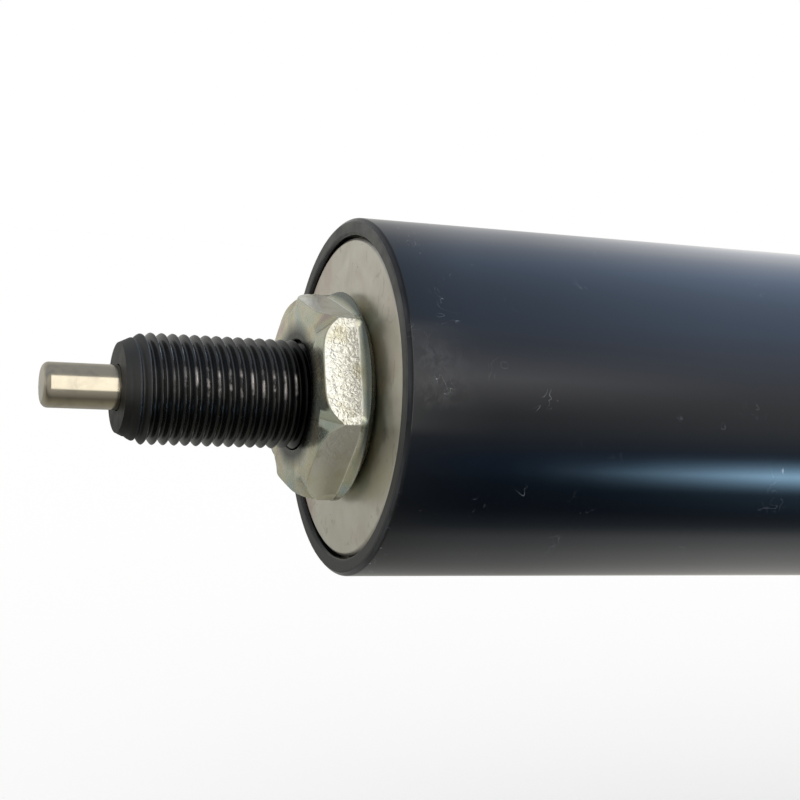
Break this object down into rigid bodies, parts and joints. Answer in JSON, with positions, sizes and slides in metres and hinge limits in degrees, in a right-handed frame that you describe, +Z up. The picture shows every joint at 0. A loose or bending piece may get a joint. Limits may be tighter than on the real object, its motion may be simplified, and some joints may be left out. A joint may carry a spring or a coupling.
{
  "type": "lockable gas spring",
  "caption": "Lockable gas spring in a guide tube: recessed end disc, thin lock nut, hollow threaded rod end with a release pin, and an eye at the far end.",
  "frame": {"origin": "on the axis, at the front face of the lock nut, where a release head is screwed on to the rod's thread", "axes": "+X along the axis from the threaded rod end to the rear eye, +Z up, the rear eye's hole along Y"},
  "size_m": [0.2598, 0.033, 0.033],
  "materials": {
    "dark_tube": "glossy blue-black, cut rim matte",
    "zinc_plate": "satin zinc plate, faintly yellow",
    "zinc_nut": "rough bright zinc plate",
    "black_rod": "black nitrided, satin",
    "black_paint": "semi-gloss",
    "bright_steel": "ground",
    "aluminium": "turned",
    "bronze": "sintered, satin",
    "rubber": "matte",
    "polyurethane": "satin",
    "black_plastic": "matte"
  },
  "bodies": {
    "rod_and_guide": {"guide_tube": "dark_tube", "end_disc": "zinc_plate", "lock_nut": "zinc_nut", "slide_bush": "black_plastic", "piston_rod": "black_rod", "piston": "aluminium", "valve_inner_seal": "rubber", "valve_sleeve": "bronze", "valve_outer_seal": "rubber", "piston_cap": "bright_steel"},
    "release": {"release_pin": "bright_steel", "valve_stem": "bright_steel"},
    "piston_rings": {"piston_ring": "black_plastic", "piston_seal": "rubber"},
    "cylinder": {"pressure_tube": "black_paint", "rod_wiper": "polyurethane", "rod_guide": "aluminium", "rod_bush": "bronze", "guide_seal": "rubber", "rod_seal": "rubber", "seal_washer": "bright_steel", "snap_ring": "bright_steel", "extension_stop": "polyurethane", "end_plug": "aluminium", "plug_seal": "rubber", "eye_nut": "zinc_nut", "rear_eye": "zinc_plate", "eye_bush": "bronze"}
  },
  "joints": [
    {"name": "release_press", "type": "slide", "parent": "rod_and_guide", "child": "release", "axis": [1, 0, 0], "range_m": [0, 0.0025], "stiffness_N_per_m": 2000, "springref_m": -0.002},
    {"name": "swivel", "type": "hinge", "parent": "rod_and_guide", "child": "piston_rings", "pos_m": [0.12, 0, 0], "axis": [1, 0, 0], "continuous": true},
    {"name": "stroke", "type": "slide", "parent": "piston_rings", "child": "cylinder", "axis": [-1, 0, 0], "range_m": [0, 0.06], "stiffness_N_per_m": 400, "springref_m": -0.3}
  ]
}
